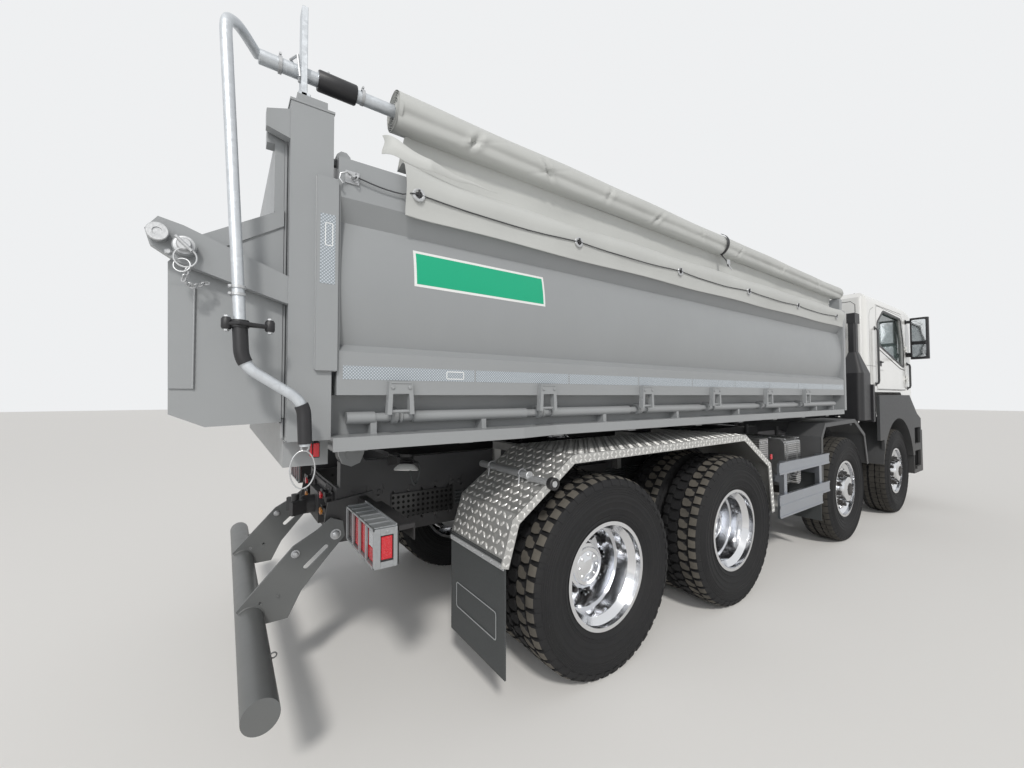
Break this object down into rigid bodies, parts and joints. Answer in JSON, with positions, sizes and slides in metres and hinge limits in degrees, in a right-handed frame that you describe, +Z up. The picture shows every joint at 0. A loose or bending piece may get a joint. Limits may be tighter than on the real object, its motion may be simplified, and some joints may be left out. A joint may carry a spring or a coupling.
{
  "type": "dump truck",
  "caption": "Four-axle tipper truck with a steel load body, pendulum side boards, a scoop tailgate, a folding rear guard and a rolled side tarpaulin.",
  "frame": {"origin": "on the ground under the middle of the truck's length and width", "axes": "+X forward, +Y to the truck's left, +Z up"},
  "size_m": [9.03, 2.8, 2.962],
  "materials": {
    "aluminium": "brushed",
    "axle_black": "matte",
    "black_plastic": "satin",
    "body_paint": "satin",
    "cab_paint": "gloss",
    "chassis_paint": "satin",
    "chequer_plate": "embossed, slightly worn",
    "chrome_rod": "ground",
    "dark_plastic": "grained",
    "engine_metal": "matte",
    "galvanised": "galvanised",
    "glass": "tinted",
    "grey_plastic": "matte",
    "guard_paint": "satin",
    "interior_trim": "matte",
    "lamp_lens": "clear",
    "polished_rim": "polished",
    "rubber": "matte",
    "silencer_metal": "satin",
    "tarp_fabric": "coated weave",
    "tyre_rubber": "dusty"
  },
  "bodies": {
    "chassis": {"chassis_frame": "chassis_paint", "tipping_subframe": "chassis_paint", "steered_axles": "axle_black", "driven_axles": "axle_black", "engine_block": "engine_metal", "rear_fenders": "chequer_plate", "mud_flaps": "rubber", "second_axle_fenders": "grey_plastic", "side_guards": "aluminium", "tanks_and_silencer": "silencer_metal", "front_fenders_and_steps": "dark_plastic", "front_bumper": "dark_plastic", "head_lamps": "lamp_lens", "rear_lamps": "galvanised", "air_intake": "black_plastic"},
    "underrun": {"underrun_guard": "guard_paint"},
    "knuckle_first_right": {"knuckle_first_right": "axle_black"},
    "wheel_first_right": {"tyre_first_right": "tyre_rubber", "rim_first_right": "polished_rim"},
    "knuckle_first_left": {"knuckle_first_left": "axle_black"},
    "wheel_first_left": {"tyre_first_left": "tyre_rubber", "rim_first_left": "polished_rim"},
    "knuckle_second_right": {"knuckle_second_right": "axle_black"},
    "wheel_second_right": {"tyre_second_right": "tyre_rubber", "rim_second_right": "polished_rim"},
    "knuckle_second_left": {"knuckle_second_left": "axle_black"},
    "wheel_second_left": {"tyre_second_left": "tyre_rubber", "rim_second_left": "polished_rim"},
    "wheel_third_right": {"tyres_third_right": "tyre_rubber", "rims_third_right": "polished_rim"},
    "wheel_third_left": {"tyres_third_left": "tyre_rubber", "rims_third_left": "polished_rim"},
    "wheel_fourth_right": {"tyres_fourth_right": "tyre_rubber", "rims_fourth_right": "polished_rim"},
    "wheel_fourth_left": {"tyres_fourth_left": "tyre_rubber", "rims_fourth_left": "polished_rim"},
    "cab": {"cab_shell": "cab_paint", "windscreen": "glass", "cab_interior": "interior_trim", "mirrors": "black_plastic", "grille_and_visor": "black_plastic"},
    "door_right": {"door_right": "cab_paint", "door_glass_right": "glass"},
    "door_left": {"door_left": "cab_paint", "door_glass_left": "glass"},
    "bed": {"load_body": "body_paint", "body_posts": "body_paint", "front_wall": "body_paint", "lock_shafts": "body_paint", "tarp_roll": "tarp_fabric", "tarp_crank": "galvanised"},
    "side_board_right": {"side_board_right": "body_paint", "tarp_flap": "tarp_fabric"},
    "side_board_left": {"side_board_left": "body_paint"},
    "tailgate": {"tailgate": "body_paint"},
    "cylinder_barrel": {"cylinder_barrel": "chassis_paint"},
    "cylinder_stage_1": {"cylinder_stage_1": "chrome_rod"},
    "cylinder_stage_2": {"cylinder_stage_2": "chrome_rod"},
    "cylinder_stage_3": {"cylinder_stage_3": "chrome_rod"},
    "cylinder_stage_4": {"cylinder_stage_4": "chrome_rod"}
  },
  "joints": [
    {"name": "steer_first_right", "type": "hinge", "parent": "chassis", "child": "knuckle_first_right", "pos_m": [3.095, -0.87, 0.55], "axis": [0, 0, 1], "range_deg": [-35, 35]},
    {"name": "spin_first_right", "type": "hinge", "parent": "knuckle_first_right", "child": "wheel_first_right", "pos_m": [3.095, -1.075, 0.55], "axis": [0, 1, 0], "continuous": true},
    {"name": "steer_first_left", "type": "hinge", "parent": "chassis", "child": "knuckle_first_left", "pos_m": [3.095, 0.87, 0.55], "axis": [0, 0, 1], "range_deg": [-35, 35]},
    {"name": "spin_first_left", "type": "hinge", "parent": "knuckle_first_left", "child": "wheel_first_left", "pos_m": [3.095, 1.075, 0.55], "axis": [0, 1, 0], "continuous": true},
    {"name": "steer_second_right", "type": "hinge", "parent": "chassis", "child": "knuckle_second_right", "pos_m": [1.215, -0.87, 0.55], "axis": [0, 0, 1], "range_deg": [-24, 24]},
    {"name": "spin_second_right", "type": "hinge", "parent": "knuckle_second_right", "child": "wheel_second_right", "pos_m": [1.215, -1.075, 0.55], "axis": [0, 1, 0], "continuous": true},
    {"name": "steer_second_left", "type": "hinge", "parent": "chassis", "child": "knuckle_second_left", "pos_m": [1.215, 0.87, 0.55], "axis": [0, 0, 1], "range_deg": [-24, 24]},
    {"name": "spin_second_left", "type": "hinge", "parent": "knuckle_second_left", "child": "wheel_second_left", "pos_m": [1.215, 1.075, 0.55], "axis": [0, 1, 0], "continuous": true},
    {"name": "spin_third_right", "type": "hinge", "parent": "chassis", "child": "wheel_third_right", "pos_m": [-1.155, -0.927, 0.55], "axis": [0, 1, 0], "continuous": true},
    {"name": "spin_third_left", "type": "hinge", "parent": "chassis", "child": "wheel_third_left", "pos_m": [-1.155, 0.927, 0.55], "axis": [0, 1, 0], "continuous": true},
    {"name": "spin_fourth_right", "type": "hinge", "parent": "chassis", "child": "wheel_fourth_right", "pos_m": [-2.535, -0.927, 0.55], "axis": [0, 1, 0], "continuous": true},
    {"name": "spin_fourth_left", "type": "hinge", "parent": "chassis", "child": "wheel_fourth_left", "pos_m": [-2.535, 0.927, 0.55], "axis": [0, 1, 0], "continuous": true},
    {"name": "cab_tilt", "type": "hinge", "parent": "chassis", "child": "cab", "pos_m": [4.365, 0, 1.13], "axis": [0, 1, 0], "range_deg": [0, 55]},
    {"name": "door_right_hinge", "type": "hinge", "parent": "cab", "child": "door_right", "pos_m": [3.907, -1.162, 2.15], "axis": [0, 0, 1], "range_deg": [0, 75]},
    {"name": "door_left_hinge", "type": "hinge", "parent": "cab", "child": "door_left", "pos_m": [3.907, 1.162, 2.15], "axis": [0, 0, -1], "range_deg": [0, 75]},
    {"name": "bed_tip", "type": "hinge", "parent": "chassis", "child": "bed", "pos_m": [-3.735, 0, 1.235], "axis": [0, -1, 0], "range_deg": [0, 48]},
    {"name": "board_right_hinge", "type": "hinge", "parent": "bed", "child": "side_board_right", "pos_m": [-1.535, -1.185, 2.44], "axis": [-1, 0, 0], "range_deg": [0, 55]},
    {"name": "board_left_hinge", "type": "hinge", "parent": "bed", "child": "side_board_left", "pos_m": [-1.535, 1.185, 2.44], "axis": [1, 0, 0], "range_deg": [0, 55]},
    {"name": "tailgate_hinge", "type": "hinge", "parent": "bed", "child": "tailgate", "pos_m": [-4.18, 0, 2.5], "axis": [0, 1, 0], "range_deg": [0, 75]},
    {"name": "underrun_fold", "type": "hinge", "parent": "chassis", "child": "underrun", "pos_m": [-3.812, 0, 0.816], "axis": [0, 1, 0], "range_deg": [0, 40]},
    {"name": "barrel_tilt", "type": "hinge", "parent": "chassis", "child": "cylinder_barrel", "pos_m": [-1.835, 0, 0.98], "axis": [0, -1, 0], "range_deg": [0, 22.1]},
    {"name": "stage_1_slide", "type": "slide", "parent": "cylinder_barrel", "child": "cylinder_stage_1", "axis": [0, 0, 1], "range_m": [0, 0.388]},
    {"name": "stage_2_slide", "type": "slide", "parent": "cylinder_stage_1", "child": "cylinder_stage_2", "axis": [0, 0, 1], "range_m": [0, 0.388]},
    {"name": "stage_3_slide", "type": "slide", "parent": "cylinder_stage_2", "child": "cylinder_stage_3", "axis": [0, 0, 1], "range_m": [0, 0.388]},
    {"name": "stage_4_slide", "type": "slide", "parent": "cylinder_stage_3", "child": "cylinder_stage_4", "axis": [0, 0, 1], "range_m": [0, 0.388]}
  ],
  "couplings": [
    {"joint": "steer_first_left", "follows": "steer_first_right", "ratio": 1},
    {"joint": "steer_second_right", "follows": "steer_first_right", "ratio": 0.68},
    {"joint": "steer_second_left", "follows": "steer_first_right", "ratio": 0.68},
    {"joint": "barrel_tilt", "follows": "bed_tip", "ratio": 0.45104},
    {"joint": "stage_1_slide", "follows": "bed_tip", "m_per_rad": 0.45837},
    {"joint": "stage_2_slide", "follows": "bed_tip", "m_per_rad": 0.45837},
    {"joint": "stage_3_slide", "follows": "bed_tip", "m_per_rad": 0.45837},
    {"joint": "stage_4_slide", "follows": "bed_tip", "m_per_rad": 0.45837}
  ]
}
